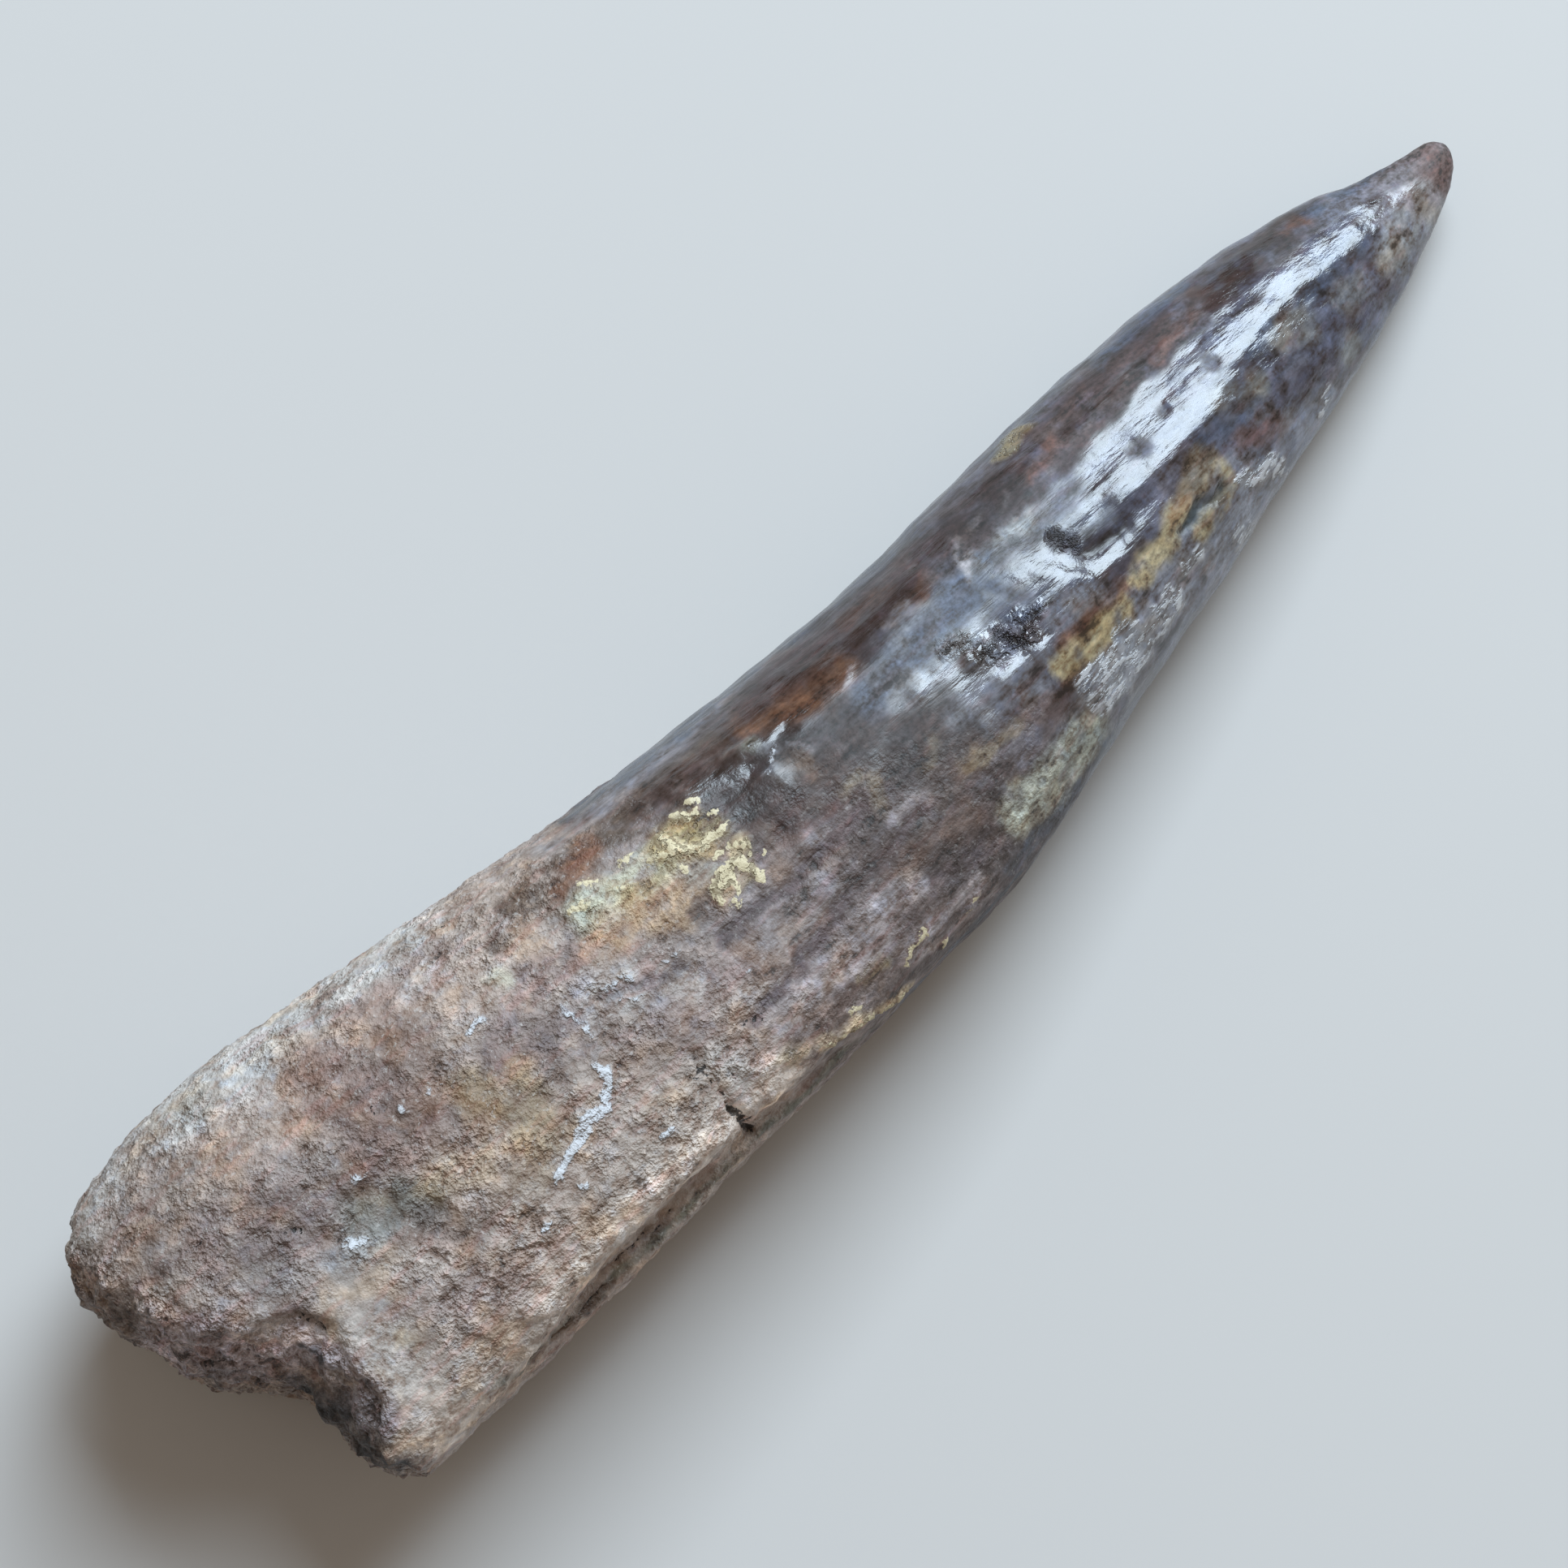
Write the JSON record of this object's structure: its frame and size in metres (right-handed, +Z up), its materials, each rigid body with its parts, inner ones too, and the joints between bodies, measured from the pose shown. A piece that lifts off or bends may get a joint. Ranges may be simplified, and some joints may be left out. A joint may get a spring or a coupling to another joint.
{
  "type": "fossil dinosaur tooth",
  "caption": "Fossil Spinosaurus tooth lying on its side: a long, slightly bent conical crown with a glossy tip, on a stout oval root broken off at its end.",
  "frame": {"origin": "centre of the tooth's footprint box, on the surface that it lies on", "axes": "+X along the tooth from the broken root to the tip, +Y to the side that the crown leans to, +Z up"},
  "size_m": [0.1114, 0.0274, 0.02],
  "materials": {
    "fossil_tooth": "mineralised tooth: matt mottled tan root, dark brown to blue-grey glossy crown"
  },
  "bodies": {
    "root": {"fossil_tooth": "fossil_tooth"}
  },
  "joints": []
}
